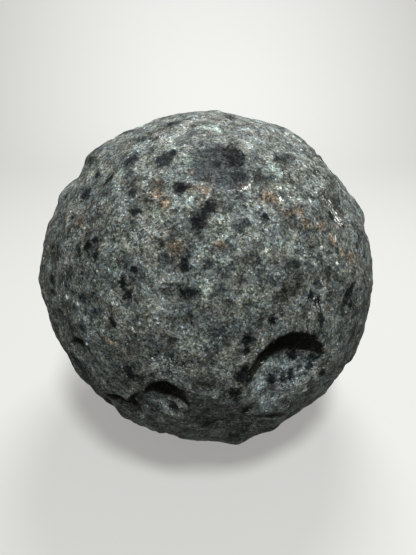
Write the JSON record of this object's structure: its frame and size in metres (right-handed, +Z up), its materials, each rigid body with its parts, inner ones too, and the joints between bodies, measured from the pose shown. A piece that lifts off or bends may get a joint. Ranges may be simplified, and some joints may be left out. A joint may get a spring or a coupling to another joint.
{
  "type": "sodalite syenite sphere",
  "caption": "Ball of dark grey sodalite syenite, carved with shallow dishes and a few deep hollows, that rests on a small flat spot.",
  "frame": {"origin": "middle of the small ground flat that the ball rests on", "axes": "+Z up, -Y towards the side with the largest hollow, +X to the right seen from there"},
  "size_m": [0.0845, 0.0852, 0.0843],
  "materials": {
    "sodalite_syenite": "rough, finely grained dark grey stone with black mineral spots and faint rust and pale green patches"
  },
  "bodies": {
    "root": {"sphere": "sodalite_syenite"}
  },
  "joints": []
}
